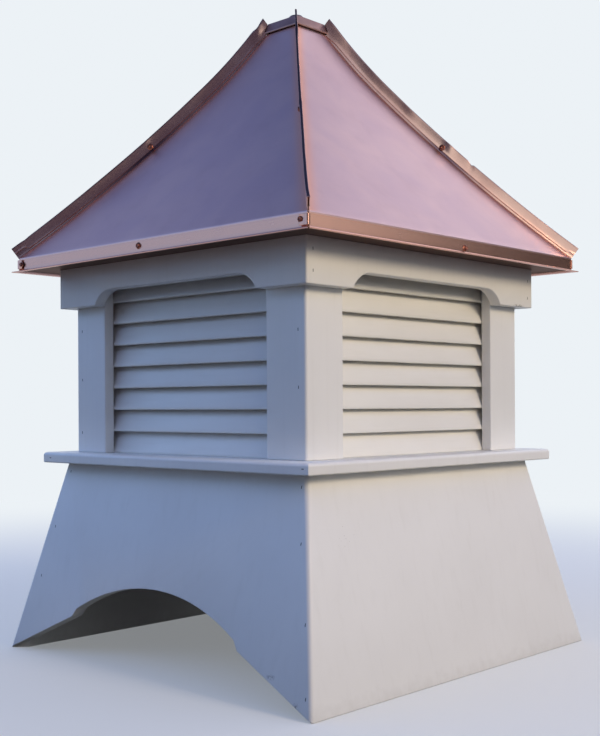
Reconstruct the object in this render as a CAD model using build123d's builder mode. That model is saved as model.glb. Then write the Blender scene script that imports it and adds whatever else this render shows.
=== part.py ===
# A louvred roof cupola: a flared base notched over a roof ridge, a sill, a square shaft
# with four posts, arched headers and fixed louvres, and a bell-curved copper roof.
# The origin is the middle of the base at its bottom edge, and the notched faces look
# along Y. The front is the -Y side.
import os
from math import asin, atan2, cos, degrees, radians, sin, sqrt, tan

from build123d import *

os.makedirs("parts", exist_ok=True)

# Shaft: corner posts of two boards each, and louvre slats behind them
shaft_width = 467.2
post_face = 68.3
post_board = 16
post_corner_radius = 4
slat_count = 8
slat_pitch = 31.25
slat_overlap = 5
slat_thickness = 5
slat_tilt = 24
slat_nose = 4
slat_tuck = 20
slat_headroom = 22

# Headers with a flat arch cut in the lower edge
header_board = 18
header_height = 58.8
arch_rise = 21.5
arch_shoulder = 36
header_corner_radius = 3

# Sill
sill_thickness = 15.5
sill_board = 79
sill_overhang = 25.4
sill_top_radius = 5
sill_bottom_radius = 2

# Flared base
base_shoulder = 10.2
base_flare = 61.2
base_height = 275.5
base_board = 19
base_corner_radius = 6

# Notch over the ridge: the roof's slope, then the edge and crown of its ridge cap
roof_slope = 24
ridge_cap_half_width = 169
ridge_cap_edge = 11.5
ridge_cap_lean = 8
ridge_cap_rise = 42.6
notch_overrun = 10

# Rim boards under the eaves
rim_board = 93
rim_thickness = 16
rim_edge_radius = 4

# Sheet copper roof: a bell curve of two arcs from the cap down to the eaves
eave_overhang = 42.9
roof_rise = 337.4
sheet = 1
top_slope = 62
eave_slope = 46
upper_arc_reach = 109.05
fascia_height = 20
eave_bend_radius = 3
drip_reach = 8
drip_radius = 4
panel_tuck = 8
tab_width = 12
tab_height = 12
tab_step = 1

# Standing seams along the hips
seam_height = 15.3
seam_core = 2
seam_hem = 4
seam_hem_gap = 3
seam_run = 30
seam_tip_slope = 53

# Cap, whose sides flare down to a hem, and plug
cap_width = 61
cap_flare = 3.6
cap_height = 14.8
cap_edge_radius = 1.5
cap_hem = 0.6
cap_hem_height = 2
plug_diameter = 24
plug_height = 12
plug_bevel = 3
fit = 0.3

# Widths and levels that follow from them
base_top_width = shaft_width + 2 * base_shoulder
base_width = base_top_width + 2 * base_flare
sill_width = base_top_width + 2 * sill_overhang
header_width = shaft_width + 2 * header_board
eave_width = header_width + 2 * eave_overhang
shaft_height = slat_count * slat_pitch + slat_headroom
sill_level = base_height
shaft_level = sill_level + sill_thickness
rim_level = shaft_level + shaft_height
header_level = rim_level - header_height
eave_level = rim_level + rim_thickness + sheet
cap_level = eave_level + roof_rise
cap_top = cap_level + cap_height
tab_level = eave_level - fascia_height + drip_radius
cap_foot_width = cap_width + 2 * cap_flare

sides = {"front": 0, "right": 90, "back": 180, "left": 270}
corners = {"front_right": 0, "back_right": 90, "back_left": 180, "front_left": 270}


def upright(turn):
    """The upright plane through the middle that faces along a side: x outward, y up."""
    outward = Vector(0, -1, 0).rotate(Axis.Z, turn)
    return Plane(origin=(0, 0, 0), x_dir=outward, z_dir=outward.cross(Vector(0, 0, 1)))


def side_wedge(turn, gap=0):
    """The quarter of all space that faces one side, each of its mitres half a gap in."""
    tip = -gap / sqrt(2)
    edge = tip - base_width
    with BuildPart() as wedge:
        with BuildSketch(Plane.XY.offset(-notch_overrun).rotated((0, 0, turn))):
            with BuildLine():
                Polyline((0, tip), (-base_width, edge), (base_width, edge), (0, tip))
            make_face()
        extrude(amount=cap_top + 2 * notch_overrun)
    return wedge.part


def finish(piece, name):
    """Name a finished piece and write it to its own file."""
    piece.part.label = name
    export_step(piece.part, f"parts/{name}.step")


# Base panels: the walls of a tapered box, mitred at the corners
batter = atan2(base_flare, base_height)
inner_width = base_width - 2 * base_board / cos(batter)
with BuildPart() as base_walls:
    with BuildSketch():
        Rectangle(base_width, base_width)
    extrude(amount=base_height, taper=degrees(batter))
    fillet(base_walls.edges().group_by(Axis.Z)[1], base_corner_radius)
    with BuildSketch():
        Rectangle(inner_width, inner_width)
    extrude(amount=base_height, taper=degrees(batter), mode=Mode.SUBTRACT)

# The ridge notch: roof slope, upright edge of the ridge cap, and its rounded crown
foot = (base_width / 2, 0)
valley = (ridge_cap_half_width, (foot[0] - ridge_cap_half_width) * tan(radians(roof_slope)))
crown_end = (ridge_cap_half_width - ridge_cap_lean, valley[1] + ridge_cap_edge)
crown_top = (0, crown_end[1] + ridge_cap_rise)
with BuildPart() as ridge_notch:
    with BuildSketch(Plane.XZ):
        with BuildLine():
            Polyline((0, -notch_overrun), (foot[0], -notch_overrun), foot, valley, crown_end)
            TangentArc(crown_top, crown_end, tangent=(1, 0))
            Line(crown_top, (0, -notch_overrun))
        make_face()
        mirror(about=Plane.YZ)
    extrude(amount=base_width, both=True)

for side, turn in sides.items():
    quarter = side_wedge(turn)
    with BuildPart() as base_panel:
        add(base_walls.part)
        add(quarter, mode=Mode.INTERSECT)
        if side in ("front", "back"):
            add(ridge_notch.part, mode=Mode.SUBTRACT)
    finish(base_panel, f"base_panel_{side}")

# Sill: flat boards with a rounded nosing, mitred at the corners
for side, turn in sides.items():
    quarter = side_wedge(turn)
    with BuildPart() as sill:
        with BuildSketch(upright(turn)) as section:
            with Locations((sill_width / 2, sill_level)):
                Rectangle(sill_board, sill_thickness, align=(Align.MAX, Align.MIN))
            nosing = section.vertices().group_by(Axis.X)[-1].sort_by(Axis.Y)
            fillet(nosing[-1], sill_top_radius)
            nosing = section.vertices().sort_by(Axis.Y)
            fillet(nosing[:2].sort_by(Axis.X)[-1], sill_bottom_radius)
        extrude(amount=sill_width / 2, both=True)
        add(quarter, mode=Mode.INTERSECT)
    finish(sill, f"sill_{side}")

# Corner posts: two boards joined at the corner, standing on the sill
for corner, turn in corners.items():
    with BuildPart() as post:
        with BuildSketch(Plane.XY.offset(shaft_level).rotated((0, 0, turn))) as section:
            with Locations((shaft_width / 2, -shaft_width / 2)):
                Rectangle(post_face, post_face, align=(Align.MAX, Align.MIN))
            with Locations((shaft_width / 2 - post_board, -shaft_width / 2 + post_board)):
                Rectangle(
                    post_face, post_face, align=(Align.MAX, Align.MIN), mode=Mode.SUBTRACT
                )
            fillet(section.vertices().sort_by_distance((0, 0, 0))[-1], post_corner_radius)
        extrude(amount=shaft_height)
    finish(post, f"corner_post_{corner}")

# Headers: a mitred ring round the tops of the posts, its lower edge cut to a flat arch
opening = shaft_width / 2 - post_face
crown_level = header_level + arch_rise
with BuildPart() as header_ring:
    with BuildSketch(Plane.XY.offset(header_level)):
        RectangleRounded(header_width, header_width, header_corner_radius)
        Rectangle(shaft_width, shaft_width, mode=Mode.SUBTRACT)
    extrude(amount=header_height)
    for face_plane in (Plane.XZ, Plane.YZ):
        with BuildSketch(face_plane):
            with BuildLine():
                Polyline(
                    (opening, header_level),
                    (opening, header_level - arch_rise),
                    (0, header_level - arch_rise),
                    (0, crown_level),
                    (opening - arch_shoulder, crown_level),
                )
                TangentArc(
                    (opening - arch_shoulder, crown_level), (opening, header_level), tangent=(1, 0)
                )
            make_face()
            mirror(about=Plane.YZ)
        extrude(amount=header_width, both=True, mode=Mode.SUBTRACT)

for side, turn in sides.items():
    quarter = side_wedge(turn)
    with BuildPart() as header:
        add(header_ring.part)
        add(quarter, mode=Mode.INTERSECT)
    finish(header, f"header_{side}")

# Louvres: tilted slats whose upright noses lie against the backs of the posts
slat_rise = slat_pitch + slat_overlap
slat_run = (slat_rise - slat_nose) * tan(radians(slat_tilt))
slat_across = slat_thickness / cos(radians(slat_tilt))
nose_line = shaft_width / 2 - post_board
for side, turn in sides.items():
    with BuildPart() as louvres:
        with BuildSketch(upright(turn)):
            for slat in range(slat_count):
                slat_foot = shaft_level + slat * slat_pitch
                with BuildLine():
                    Polyline(
                        (nose_line, slat_foot),
                        (nose_line, slat_foot + slat_nose),
                        (nose_line - slat_run, slat_foot + slat_rise),
                        (nose_line - slat_run - slat_across, slat_foot + slat_rise),
                        (nose_line - slat_across, slat_foot),
                        close=True,
                    )
                make_face()
        extrude(amount=opening + slat_tuck, both=True)
    finish(louvres, f"louvres_{side}")

# Rim: mitred boards on the posts and headers, which the roof is fixed to
rim_width = eave_width - 2 * sheet
for side, turn in sides.items():
    quarter = side_wedge(turn)
    with BuildPart() as rim:
        with BuildSketch(upright(turn)) as section:
            with Locations((rim_width / 2, rim_level)):
                Rectangle(rim_board, rim_thickness, align=(Align.MAX, Align.MIN))
            top_edge = section.vertices().sort_by(Axis.Y)[2:]
            fillet(top_edge.sort_by(Axis.X)[-1], rim_edge_radius)
        extrude(amount=rim_width / 2, both=True)
        add(quarter, mode=Mode.INTERSECT)
    finish(rim, f"rim_{side}")

# Soffit: copper sheets under the rim, from the headers out to the fascias
for side, turn in sides.items():
    quarter = side_wedge(turn)
    with BuildPart() as soffit:
        with BuildSketch(upright(turn)):
            with Locations((rim_width / 2, rim_level)):
                Rectangle((rim_width - header_width) / 2, sheet, align=Align.MAX)
        extrude(amount=rim_width / 2, both=True)
        add(quarter, mode=Mode.INTERSECT)
    finish(soffit, f"soffit_{side}")

# The bell curve on a side's section: its top, the point where its two arcs meet, and the
# eave. The arcs share a tangent where they meet, so each chord lies at the mean of the
# slopes at its ends. The upper chord's length is given, the law of sines has the lower
# chord's slope from it, and that gives the slope where the arcs meet.
bell_top = Vector(cap_foot_width / 2 - 2 * sheet - 3 * fit, cap_level)
bell_eave = Vector(eave_width / 2, eave_level)
chord = bell_eave - bell_top
chord_slope = atan2(-chord.Y, chord.X)
chord_turn = radians(top_slope - eave_slope) / 2
lower_slope = chord_slope - asin(upper_arc_reach * sin(chord_turn) / chord.length)
upper_slope = lower_slope + chord_turn
middle_slope = degrees(2 * lower_slope) - eave_slope
bell_joint = bell_top + Vector(cos(upper_slope), -sin(upper_slope)) * upper_arc_reach
top_way, middle_way, eave_way = (
    Vector(cos(radians(slope)), -sin(radians(slope)))
    for slope in (top_slope, middle_slope, eave_slope)
)

# Roof panels: one bent sheet a side, with its fascia and out-turned drip edge. The side
# panels also have a tab at each end, folded round the corner onto the next fascia.
fascia_line = eave_width / 2
drip_level = eave_level - fascia_height
drip_end = fascia_line + drip_reach
for side, turn in sides.items():
    quarter = side_wedge(turn, seam_core)
    with BuildPart() as roof_panel:
        with BuildSketch(upright(turn)):
            with BuildLine() as bend:
                Line(bell_top - top_way * panel_tuck, bell_top)
                TangentArc(bell_top, bell_joint, tangent=top_way)
                TangentArc(bell_joint, bell_eave, tangent=middle_way)
                Polyline(bell_eave, (fascia_line, drip_level), (drip_end, drip_level))
                fillet(bend.vertices().sort_by_distance(bell_eave)[0], eave_bend_radius)
                fillet(bend.vertices().sort_by(Axis.Y)[:2].sort_by(Axis.X)[0], drip_radius)
                offset(amount=sheet, side=Side.RIGHT)
            make_face()
        extrude(amount=drip_end, both=True)
        add(quarter, mode=Mode.INTERSECT)
        if side in ("right", "left"):
            for end in (1, -1):
                inward = Align.MAX if end == 1 else Align.MIN
                with BuildSketch(Plane.XY.offset(tab_level).rotated((0, 0, turn))):
                    with Locations((end * (fascia_line + sheet), -fascia_line + sheet)):
                        Rectangle(2 * sheet + tab_step, sheet, align=(inward, Align.MAX))
                        Rectangle(sheet, tab_width, align=(inward, Align.MIN))
                extrude(amount=tab_height)
    finish(roof_panel, f"roof_panel_{side}")


def bell_space(lift):
    """The space under the four bell curves, each lifted square to itself."""
    top, joint, eave = (
        point + Vector(-way.Y, way.X) * lift
        for point, way in ((bell_top, top_way), (bell_joint, middle_way), (bell_eave, eave_way))
    )
    peak = top - top_way * seam_run
    mode = Mode.ADD
    with BuildPart() as space:
        for plane in (Plane.XZ, Plane.YZ):
            with BuildSketch(plane):
                with BuildLine():
                    Line(peak, top)
                    TangentArc(top, joint, tangent=top_way)
                    TangentArc(joint, eave, tangent=middle_way)
                    Polyline(eave, (eave.X, drip_level), (0, drip_level), (0, peak.Y), peak)
                make_face()
                mirror(about=Plane.YZ)
            extrude(amount=eave_width, both=True, mode=mode)
            mode = Mode.INTERSECT
    return space.part


# Hip seams: the turned-up edges of two panels stand in the slot between them, and one is
# folded down over the other as a hem. The lower end is cut square to the seam, and the
# upper end leans out over the cap's corner.
under_sheet = bell_space(-sheet)
under_hem = bell_space(seam_hem_gap)
under_seam = bell_space(seam_height)
seam_start = (cap_foot_width / 2 + cap_hem + fit) * sqrt(2)
seam_lean = (cap_flare + cap_hem) * sqrt(2)
seam_end = fascia_line * sqrt(2)
hip_slope = atan2(tan(radians(eave_slope)), sqrt(2))
end_cut = Vector(sin(hip_slope), cos(hip_slope)) * 2 * seam_height
tip_cut = Vector(cos(radians(seam_tip_slope)), sin(radians(seam_tip_slope))) * 2 * seam_height
for corner, turn in corners.items():
    with BuildPart() as seam:
        for thickness, space in ((seam_hem, under_hem), (seam_core, under_sheet)):
            with BuildSketch(upright(turn + 45)):
                with BuildLine():
                    Polyline(
                        (seam_end, eave_level),
                        (seam_start, eave_level),
                        (seam_start, cap_level),
                        (seam_start - seam_lean, cap_top),
                        Vector(seam_start - seam_lean, cap_top) + tip_cut,
                        Vector(seam_end, eave_level) + end_cut,
                        close=True,
                    )
                make_face()
            extrude(amount=thickness / 2, both=True)
            add(space, mode=Mode.SUBTRACT)
        add(under_seam, mode=Mode.INTERSECT)
    finish(seam, f"hip_seam_{corner}")

# Cap: a folded square lid over the tops of the panels, with a hem round its lower edge
flare_angle = degrees(atan2(cap_flare, cap_height))
hollow_width = cap_foot_width - 2 * sheet
hem_width = cap_foot_width + 2 * cap_hem
with BuildPart() as roof_cap:
    with BuildSketch(Plane.XY.offset(cap_level)):
        Rectangle(cap_foot_width, cap_foot_width)
    extrude(amount=cap_height, taper=flare_angle)
    fillet(roof_cap.edges().group_by(Axis.Z)[1], cap_edge_radius)
    chamfer(roof_cap.faces().sort_by(Axis.Z)[-1].edges(), cap_edge_radius / 2)
    with BuildSketch(Plane.XY.offset(cap_level)):
        RectangleRounded(hem_width, hem_width, cap_edge_radius)
    extrude(amount=cap_hem_height)
    with BuildSketch(Plane.XY.offset(cap_level)):
        Rectangle(hollow_width, hollow_width)
    extrude(amount=cap_height - sheet, taper=flare_angle, mode=Mode.SUBTRACT)
finish(roof_cap, "roof_cap")

# Plug: a low round one in the middle of the cap
with BuildPart() as cap_plug:
    with BuildSketch(Plane.XY.offset(cap_top)):
        Circle(plug_diameter / 2)
    extrude(amount=plug_height)
    chamfer(cap_plug.edges().sort_by(Axis.Z)[-1], plug_bevel)
finish(cap_plug, "cap_plug")
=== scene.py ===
import math

import bmesh
import bpy
import numpy as np
from mathutils import Matrix, Vector


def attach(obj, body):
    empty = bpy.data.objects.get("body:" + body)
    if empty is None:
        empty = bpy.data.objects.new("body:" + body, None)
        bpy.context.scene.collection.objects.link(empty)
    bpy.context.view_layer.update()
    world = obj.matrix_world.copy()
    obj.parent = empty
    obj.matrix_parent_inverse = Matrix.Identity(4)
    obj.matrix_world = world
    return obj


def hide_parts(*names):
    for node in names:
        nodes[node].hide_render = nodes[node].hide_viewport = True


print("loading the packed cupola")
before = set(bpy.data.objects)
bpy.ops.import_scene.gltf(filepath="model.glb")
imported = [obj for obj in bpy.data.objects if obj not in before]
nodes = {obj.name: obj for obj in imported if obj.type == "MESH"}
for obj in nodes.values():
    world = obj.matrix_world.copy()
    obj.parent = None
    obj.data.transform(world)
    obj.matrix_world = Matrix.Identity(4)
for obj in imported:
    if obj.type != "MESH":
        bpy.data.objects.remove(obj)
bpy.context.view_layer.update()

mm = 0.001
sideTurns = {"front": 0, "right": 90, "back": 180, "left": 270}
cornerTurns = {"front_right": 45, "back_right": 135, "back_left": 225, "front_left": 315}


# sRGB hex to linear, with alpha
def paint(code):
    channels = [int(code[i : i + 2], 16) / 255 for i in (1, 3, 5)]
    return tuple(c / 12.92 if c <= 0.04045 else ((c + 0.055) / 1.055) ** 2.4 for c in channels) + (1.0,)


# adds a node, sets its options, and fills or links its inputs
def addNode(tree, kind, inputs=None, **options):
    node = tree.nodes.new(kind)
    for option, value in options.items():
        setattr(node, option, value)
    for key, value in (inputs or {}).items():
        if isinstance(value, bpy.types.NodeSocket):
            tree.links.new(value, node.inputs[key])
        else:
            node.inputs[key].default_value = value
    return node


def startMaterial(name):
    material = bpy.data.materials.new(name)
    material.use_nodes = True
    material.node_tree.nodes.clear()
    return material, material.node_tree


print("materials: cellular PVC board and slats")

# Cellular PVC trim board: foamed plastic with a smooth calendered skin, white all through.
# It reads as a satin white with a very faint orange peel, a little rain dirt in
# vertical streaks, and a darker band along the bottom edge.
# A layer's range says at which noise it starts and is full, and how much of it shows.
pvcLook = {
    "clean": "#f2f1ed",
    "aged": "#ebeae6",
    "cloudSize": 130 * mm,
    "cloudRange": {"From Min": 0.35, "From Max": 0.7, "To Max": 0.6},
    "streak": "#d9d7d0",
    "streakWidth": 9 * mm,
    "streakLength": 180 * mm,
    "streakRange": {"From Min": 0.54, "From Max": 0.8, "To Max": 0.15},
    # the colour it darkens to towards the bottom edge
    "bottomDark": "#a59e92",
    "bottomDarkSize": 11.1 * mm,
    "bottomDarkHeight": 18 * mm,
    "bottomDarkShare": 0.12,
    "speck": "#6f685e",
    "speckSize": 2.6 * mm,
    "patchSize": 71.4 * mm,
    "speckRange": {"From Min": 0.55, "From Max": 0.58, "To Max": 0.3},
    "sheenRange": {"From Min": 0.3, "From Max": 0.7, "To Min": 0.37, "To Max": 0.5},
    "peelSize": 1.4 * mm,
    "peelDepth": 0.02 * mm,
    "waveSize": 70 * mm,
    "waveDepth": 0.25 * mm,
    # dirty places in mm: middle, reach along X, Y and Z, and strength
    "marks": [
        ((251.6, 214, 505), (5, 16, 4), 0.75),
        ((277, -303, 12), (5, 6, 9), 0.7),
        ((232, -297, 40), (9, 8, 4), 0.45),
        ((-233.6, 120, 300), (4, 30, 12), 0.3),
        ((150, 268, 279), (40, 6, 5), 0.35),
    ],
    "mottleSize": 2.38 * mm,
    "mottleRange": {"From Min": 0.42, "From Max": 0.6},
    "details": {"cloud": 3, "bottomDark": 5, "speck": 1, "patch": 2, "mottle": 4, "peel": 2, "wave": 1},
}


def makePvc(name, look):
    material, tree = startMaterial(name)
    coords = addNode(tree, "ShaderNodeTexCoord").outputs["Object"]
    height = addNode(tree, "ShaderNodeSeparateXYZ", {0: coords}).outputs["Z"]

    # each layer's noise, scaled by its size on the board
    noises = {}
    for layer, detail in look["details"].items():
        inputs = {"Vector": coords, "Scale": 1 / look[f"{layer}Size"], "Detail": detail}
        noises[layer] = addNode(tree, "ShaderNodeTexNoise", inputs).outputs["Fac"]

    # slow clouds of ageing
    cloudMask = addNode(tree, "ShaderNodeMapRange", {"Value": noises["cloud"], **look["cloudRange"]})

    # rain streaks: noise stretched along the height
    across, down = 1 / look["streakWidth"], 1 / look["streakLength"]
    stretched = addNode(tree, "ShaderNodeMapping", {"Vector": coords, "Scale": (across, across, down)})
    inputs = {"Vector": stretched.outputs[0], "Scale": 1.0, "Detail": 2}
    streak = addNode(tree, "ShaderNodeTexNoise", inputs).outputs["Fac"]
    streakMask = addNode(tree, "ShaderNodeMapRange", {"Value": streak, **look["streakRange"]})

    # darker towards the bottom edge, up to a ragged height
    inputs = {0: noises["bottomDark"], 1: look["bottomDarkHeight"] * 2}
    lifted = addNode(tree, "ShaderNodeMath", inputs, operation="MULTIPLY").outputs[0]
    edge = addNode(tree, "ShaderNodeMath", {0: lifted, 1: height}, operation="SUBTRACT").outputs[0]
    inputs = {"Value": edge, "From Min": 0.0, "From Max": look["bottomDarkHeight"], "To Max": look["bottomDarkShare"]}
    bottomDarkMask = addNode(tree, "ShaderNodeMapRange", inputs)

    # a few dark specks, where two noises are both high
    inputs = {0: noises["speck"], 1: noises["patch"]}
    both = addNode(tree, "ShaderNodeMath", inputs, operation="MULTIPLY").outputs[0]
    speckMask = addNode(tree, "ShaderNodeMapRange", {"Value": both, **look["speckRange"]})

    masks = {"aged": cloudMask, "streak": streakMask, "bottomDark": bottomDarkMask, "speck": speckMask}
    tone = paint(look["clean"])
    for layer, mask in masks.items():
        inputs = {0: mask.outputs[0], 6: tone, 7: paint(look[layer])}
        tone = addNode(tree, "ShaderNodeMix", inputs, data_type="RGBA").outputs[2]

    # dirty places: a mark fades with its distance, in reaches, and fine noise breaks it up
    inputs = {"Value": noises["mottle"], **look["mottleRange"]}
    broken = addNode(tree, "ShaderNodeMapRange", inputs).outputs[0]
    for middle, reach, strength in look["marks"]:
        inputs = {0: coords, 1: [c * mm for c in middle]}
        offset = addNode(tree, "ShaderNodeVectorMath", inputs, operation="SUBTRACT").outputs[0]
        inputs = {0: offset, 1: [1 / (c * mm) for c in reach]}
        inReaches = addNode(tree, "ShaderNodeVectorMath", inputs, operation="MULTIPLY").outputs[0]
        away = addNode(tree, "ShaderNodeVectorMath", {0: inReaches}, operation="LENGTH").outputs["Value"]
        inputs = {"Value": away, "From Min": 1.0, "From Max": 0.3, "To Max": strength}
        near = addNode(tree, "ShaderNodeMapRange", inputs).outputs[0]
        mask = addNode(tree, "ShaderNodeMath", {0: near, 1: broken}, operation="MULTIPLY").outputs[0]
        inputs = {0: mask, 6: tone, 7: paint(look["speck"])}
        tone = addNode(tree, "ShaderNodeMix", inputs, data_type="RGBA").outputs[2]

    # satin skin: rougher where it has aged, with slow waves under the orange peel
    sheen = addNode(tree, "ShaderNodeMapRange", {"Value": noises["cloud"], **look["sheenRange"]})
    inputs = {"Height": noises["wave"], "Distance": look["waveDepth"], "Strength": 0.6}
    relief = addNode(tree, "ShaderNodeBump", inputs).outputs[0]
    inputs = {"Height": noises["peel"], "Distance": look["peelDepth"], "Strength": 0.5, "Normal": relief}
    relief = addNode(tree, "ShaderNodeBump", inputs).outputs[0]
    skin = addNode(
        tree,
        "ShaderNodeBsdfPrincipled",
        {
            "Base Color": tone,
            "Roughness": sheen.outputs[0],
            "Normal": relief,
            "IOR": 1.53,
            "Metallic": 0.0,
        },
    )
    addNode(tree, "ShaderNodeOutputMaterial", {"Surface": skin.outputs[0]})
    return material


pvcBoard = makePvc("cellular PVC board, calendered", pvcLook)

# Extruded rigid PVC slats: a shade creamier and glossier than the foamed board, with
# faint die lines along the slat.
slatLook = dict(
    pvcLook,
    clean="#f1efe8",
    aged="#e9e6de",
    streak="#dcd8ce",
    sheenRange={"From Min": 0.3, "From Max": 0.7, "To Min": 0.31, "To Max": 0.44},
    streakWidth=60 * mm,
    streakLength=3 * mm,
    peelSize=1.0 * mm,
    waveDepth=0.1 * mm,
)
pvcSlat = makePvc("rigid PVC slat, extruded", slatLook)

print("materials: sheet copper, seams, cap and fixings")

# Mill-finish sheet copper a few months old: cold-rolled, so it has faint level lines, with
# its first dull rose film of oxide in slow clouds, and with handling marks.
copperLook = {
    "bright": "#d3b3b1",
    "film": "#c8a9ad",
    "cloudSize": 95 * mm,
    "filmRange": {"From Min": 0.3, "From Max": 0.62},
    "fascia": "#d3a08d",
    "eaveLevel": 578.5 * mm,
    "eaveBlur": 1.2 * mm,
    "mark": "#b3918f",
    "markSize": 35.7 * mm,
    "markRange": {"From Min": 0.56, "From Max": 0.8, "To Max": 0.15},
    # painted warm reflection of the folds, on the sheet beside them
    "paintedFoldReflection": "#e4a78e",
    # painted shade on the folds' crowns and in their undercuts
    "crown": "#6a5260",
    "roughness": 0.4,
    "fasciaRoughness": 0.25,
    "markSheen": 0.02,
    "grainWidth": 1.6 * mm,
    "grainLength": 120 * mm,
    "grainSheen": 0.008,
    "grainDepth": 0.005 * mm,
    "dentSize": 70 * mm,
    "dentDepth": 0.05 * mm,
    "edgeTint": "#ffffff",
}


def makeCopper(name, look):
    material, tree = startMaterial(name)
    coords = addNode(tree, "ShaderNodeTexCoord").outputs["Object"]
    height = addNode(tree, "ShaderNodeSeparateXYZ", {0: coords}).outputs["Z"]

    # oxide film in slow clouds over the bright metal
    inputs = {"Vector": coords, "Scale": 1 / look["cloudSize"], "Detail": 4, "Distortion": 0.4}
    cloud = addNode(tree, "ShaderNodeTexNoise", inputs).outputs["Fac"]
    filmMask = addNode(tree, "ShaderNodeMapRange", {"Value": cloud, **look["filmRange"]}).outputs[0]

    # below the eave bend the sheet was handled and shed its film, so it is warmer
    eave, blur = look["eaveLevel"], look["eaveBlur"]
    inputs = {"Value": height, "From Min": eave + blur, "From Max": eave - blur}
    below = addNode(tree, "ShaderNodeMapRange", inputs).outputs[0]

    # finger marks and water marks
    inputs = {"Vector": coords, "Scale": 1 / look["markSize"], "Detail": 3, "Roughness": 0.55}
    mark = addNode(tree, "ShaderNodeTexNoise", inputs).outputs["Fac"]
    markMask = addNode(tree, "ShaderNodeMapRange", {"Value": mark, **look["markRange"]}).outputs[0]

    # where the piece marks them: a painted warm reflection of the fold on the sheet beside it,
    # and painted shade, a dark line on the fold's crown and in its undercut
    paintedFoldReflection = addNode(tree, "ShaderNodeAttribute", attribute_name="paintedFoldReflection").outputs["Fac"]
    crown = addNode(tree, "ShaderNodeAttribute", attribute_name="crown").outputs["Fac"]

    masks = {"film": filmMask, "fascia": below, "mark": markMask, "paintedFoldReflection": paintedFoldReflection, "crown": crown}
    tone = paint(look["bright"])
    for layer, mask in masks.items():
        inputs = {0: mask, 6: tone, 7: paint(look[layer])}
        tone = addNode(tree, "ShaderNodeMix", inputs, data_type="RGBA").outputs[2]

    # rolling grain: level lines, too fine to show, drawn about 1.6 mm apart
    level, along = 1 / look["grainWidth"], 1 / look["grainLength"]
    stretched = addNode(tree, "ShaderNodeMapping", {"Vector": coords, "Scale": (along, along, level)})
    inputs = {"Vector": stretched.outputs[0], "Scale": 1.0, "Detail": 3}
    grain = addNode(tree, "ShaderNodeTexNoise", inputs).outputs["Fac"]

    # the roughness changes at the eave bend, a little with the grain, and on the marks
    inputs = {"Value": below, "To Min": look["roughness"], "To Max": look["fasciaRoughness"]}
    sheenBase = addNode(tree, "ShaderNodeMapRange", inputs).outputs[0]
    usual = {"From Min": 0.3, "From Max": 0.7}
    inputs = {"Value": grain, **usual, "To Min": -look["grainSheen"], "To Max": look["grainSheen"]}
    sheenGrain = addNode(tree, "ShaderNodeMapRange", inputs).outputs[0]
    inputs = {"Value": mark, **usual, "To Max": look["markSheen"]}
    sheenMark = addNode(tree, "ShaderNodeMapRange", inputs).outputs[0]
    sheenSum = addNode(tree, "ShaderNodeMath", {0: sheenBase, 1: sheenGrain}).outputs[0]
    sheen = addNode(tree, "ShaderNodeMath", {0: sheenSum, 1: sheenMark}).outputs[0]

    # shallow dents, and the grain over them
    inputs = {"Vector": coords, "Scale": 1 / look["dentSize"], "Detail": 2}
    dent = addNode(tree, "ShaderNodeTexNoise", inputs).outputs["Fac"]
    inputs = {"Height": dent, "Distance": look["dentDepth"], "Strength": 0.5}
    relief = addNode(tree, "ShaderNodeBump", inputs).outputs[0]
    inputs = {"Height": grain, "Distance": look["grainDepth"], "Strength": 0.35, "Normal": relief}
    relief = addNode(tree, "ShaderNodeBump", inputs).outputs[0]
    metal = addNode(
        tree,
        "ShaderNodeBsdfPrincipled",
        {
            "Base Color": tone,
            "Metallic": 1.0,
            "Roughness": sheen,
            "Normal": relief,
            "Specular Tint": paint(look["edgeTint"]),
        },
    )
    addNode(tree, "ShaderNodeOutputMaterial", {"Surface": metal.outputs[0]})
    return material


copperSheet = makeCopper("sheet copper, cold-rolled mill finish", copperLook)

# Folded edges of the same sheet: worked with tongs and a mallet, so brighter and warmer,
# with darker marks and small dents.
seamLook = dict(
    copperLook,
    bright="#ebc4b2",
    film="#dcb0a0",
    mark="#a67a6e",
    roughness=0.22,
    cloudSize=60 * mm,
    dentSize=22 * mm,
    dentDepth=0.2 * mm,
    grainDepth=0.0,
    grainSheen=0.0,
    markRange={"From Min": 0.56, "From Max": 0.8, "To Max": 0.25},
    markSheen=0.0,
    eaveLevel=0.0,
)
copperSeam = makeCopper("sheet copper, hand-folded seam", seamLook)

# Under the eaves the sheet is painted an even dark brown: painted shade, for the dark that the soffit
# mirrors there.
soffitShadeLook = dict(
    copperLook,
    bright="#73635d",
    film="#63544e",
    mark="#50413c",
    roughness=0.45,
    eaveLevel=0.0,
    edgeTint="#c4b4ae",
)
copperSoffitShade = makeCopper("sheet copper, soffit with painted shade", soffitShadeLook)

# The cap was worked like the seams and has dulled a little further.
capLook = dict(seamLook, bright="#b08b7e", film="#8f6f6b", mark="#6b5250", roughness=0.36)
copperCap = makeCopper("sheet copper, folded and dulled cap", capLook)

# Copper-plated screws, browned.
screwLook = dict(
    seamLook,
    bright="#966154",
    film="#6b4036",
    mark="#2d1713",
    roughness=0.36,
    cloudSize=5 * mm,
)
screwMetal = makeCopper("copper-plated screw, browned", screwLook)

# Galvanised brad heads, near black, mottled between two dark greys.
bradLook = {"dark": "#2b2a2b", "pale": "#4a4845", "spotSize": 1.11 * mm, "metallic": 0.6, "roughness": 0.6}


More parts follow.
